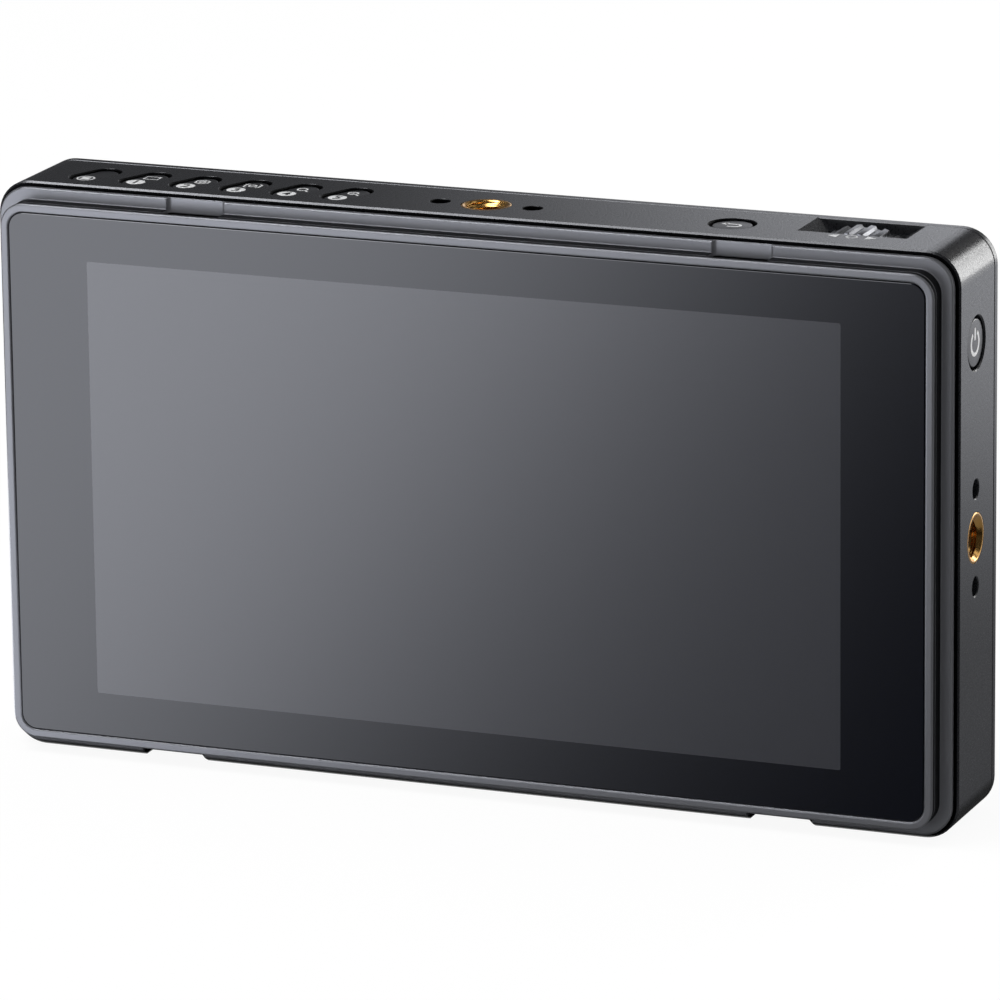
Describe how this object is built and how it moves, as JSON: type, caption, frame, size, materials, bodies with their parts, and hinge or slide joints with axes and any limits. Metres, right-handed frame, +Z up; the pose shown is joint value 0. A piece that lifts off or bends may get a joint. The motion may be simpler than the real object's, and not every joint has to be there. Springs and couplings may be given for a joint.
{
  "type": "camera field monitor",
  "caption": "Slim on-camera monitor with a glass front in a metal bezel, top buttons, a ribbed menu wheel, camera threads on its edges and a battery plate behind.",
  "frame": {"origin": "centre of the footprint of the whole monitor, on the surface that it stands on", "axes": "+X to the right of someone facing the screen, +Y back from the screen, +Z up"},
  "size_m": [0.1556, 0.0286, 0.0901],
  "materials": {
    "housing_plastic": "fine moulded grain, black",
    "cover_plastic": "fine moulded grain, black",
    "frame_metal": "bead blasted and anodised gunmetal",
    "screen_glass": "clear glass over a black printed border",
    "panel_glass": "display cell, switched off",
    "button_plastic": "satin moulded caps with pale printed marks",
    "wheel_metal": "knurled and anodised",
    "insert_brass": "turned brass",
    "screw_steel": "blackened steel",
    "sheet_steel": "tinned or plated sheet",
    "contact_metal": "gold plated blades",
    "contact_plastic": "moulded black",
    "board_laminate": "green solder mask over glass laminate",
    "chip_plastic": "moulded epoxy",
    "switch_plastic": "moulded black",
    "pad_rubber": "soft thermal pad",
    "tape_foam": "black bonding tape",
    "film_plastic": "flexible printed film",
    "diffuser_plastic": "white light guide and films",
    "spreader_aluminium": "stamped sheet",
    "lead_plastic": "insulated wire",
    "slide_plastic": "satin moulded"
  },
  "bodies": {
    "housing": {"backlight": "diffuser_plastic", "base_insert": "insert_brass", "battery_leads": "lead_plastic", "battery_plate": "cover_plastic", "board_parts": "chip_plastic", "board_screws": "screw_steel", "button_ribbon": "film_plastic", "case_screws": "screw_steel", "contact_blades": "contact_metal", "contact_block": "contact_plastic", "cover_glass": "screen_glass", "front_frame": "frame_metal", "function_board": "board_laminate", "function_switches": "switch_plastic", "glass_tape": "tape_foam", "headphone_socket": "contact_plastic", "heat_spreader": "spreader_aluminium", "latch_keeper": "sheet_steel", "latch_spring": "sheet_steel", "lcd_cell": "panel_glass", "main_board": "board_laminate", "main_housing": "housing_plastic", "menu_switch": "switch_plastic", "panel_pad": "pad_rubber", "panel_ribbon": "film_plastic", "panel_tray": "sheet_steel", "plate_screws": "screw_steel", "power_board": "board_laminate", "power_socket": "contact_plastic", "power_switch": "switch_plastic", "processor": "chip_plastic", "processor_pad": "pad_rubber", "rear_cover": "cover_plastic", "return_board": "board_laminate", "return_switch": "switch_plastic", "ribbon_plugs": "contact_plastic", "shield_can": "sheet_steel", "side_insert": "insert_brass", "top_insert": "insert_brass", "touch_sensor": "panel_glass", "usb_socket": "sheet_steel", "video_input": "sheet_steel", "video_output": "sheet_steel", "wheel_guide": "switch_plastic"},
    "function_button_1": {"function_button_1": "button_plastic"},
    "function_button_2": {"function_button_2": "button_plastic"},
    "function_button_3": {"function_button_3": "button_plastic"},
    "function_button_4": {"function_button_4": "button_plastic"},
    "function_button_5": {"function_button_5": "button_plastic"},
    "function_button_6": {"function_button_6": "button_plastic"},
    "return_button": {"return_button": "button_plastic"},
    "power_button": {"power_button": "button_plastic"},
    "wheel_carrier": {"wheel_cradle": "switch_plastic", "wheel_axle": "sheet_steel", "wheel_encoder": "switch_plastic"},
    "menu_wheel": {"menu_wheel": "wheel_metal"},
    "release_slide": {"release_slide": "slide_plastic"},
    "lock_pin": {"lock_pin": "slide_plastic"}
  },
  "joints": [
    {"name": "function_press_1", "type": "slide", "parent": "housing", "child": "function_button_1", "axis": [0, 0, -1], "range_m": [0, 0.00035], "stiffness_N_per_m": 700, "springref_m": -0.0005},
    {"name": "function_press_2", "type": "slide", "parent": "housing", "child": "function_button_2", "axis": [0, 0, -1], "range_m": [0, 0.00035], "stiffness_N_per_m": 700, "springref_m": -0.0005},
    {"name": "function_press_3", "type": "slide", "parent": "housing", "child": "function_button_3", "axis": [0, 0, -1], "range_m": [0, 0.00035], "stiffness_N_per_m": 700, "springref_m": -0.0005},
    {"name": "function_press_4", "type": "slide", "parent": "housing", "child": "function_button_4", "axis": [0, 0, -1], "range_m": [0, 0.00035], "stiffness_N_per_m": 700, "springref_m": -0.0005},
    {"name": "function_press_5", "type": "slide", "parent": "housing", "child": "function_button_5", "axis": [0, 0, -1], "range_m": [0, 0.00035], "stiffness_N_per_m": 700, "springref_m": -0.0005},
    {"name": "function_press_6", "type": "slide", "parent": "housing", "child": "function_button_6", "axis": [0, 0, -1], "range_m": [0, 0.00035], "stiffness_N_per_m": 700, "springref_m": -0.0005},
    {"name": "return_press", "type": "slide", "parent": "housing", "child": "return_button", "axis": [0, 0, -1], "range_m": [0, 0.00035], "stiffness_N_per_m": 700, "springref_m": -0.0005},
    {"name": "power_press", "type": "slide", "parent": "housing", "child": "power_button", "axis": [-1, 0, 0], "range_m": [0, 0.00035], "stiffness_N_per_m": 700, "springref_m": -0.0005},
    {"name": "menu_press", "type": "slide", "parent": "housing", "child": "wheel_carrier", "axis": [0, 0, -1], "range_m": [0, 0.0004], "stiffness_N_per_m": 900, "springref_m": -0.0006},
    {"name": "wheel_turn", "type": "hinge", "parent": "wheel_carrier", "child": "menu_wheel", "pos_m": [0.0587, 0.0006, 0.0796], "axis": [0, 1, 0], "continuous": true},
    {"name": "release", "type": "slide", "parent": "housing", "child": "release_slide", "axis": [0, 0, -1], "range_m": [0, 0.002], "stiffness_N_per_m": 250, "springref_m": -0.004},
    {"name": "pin_retract", "type": "slide", "parent": "housing", "child": "lock_pin", "axis": [0, -1, 0], "range_m": [0, 0.0018]}
  ],
  "couplings": [
    {"joint": "pin_retract", "follows": "release", "ratio": 0.9}
  ]
}
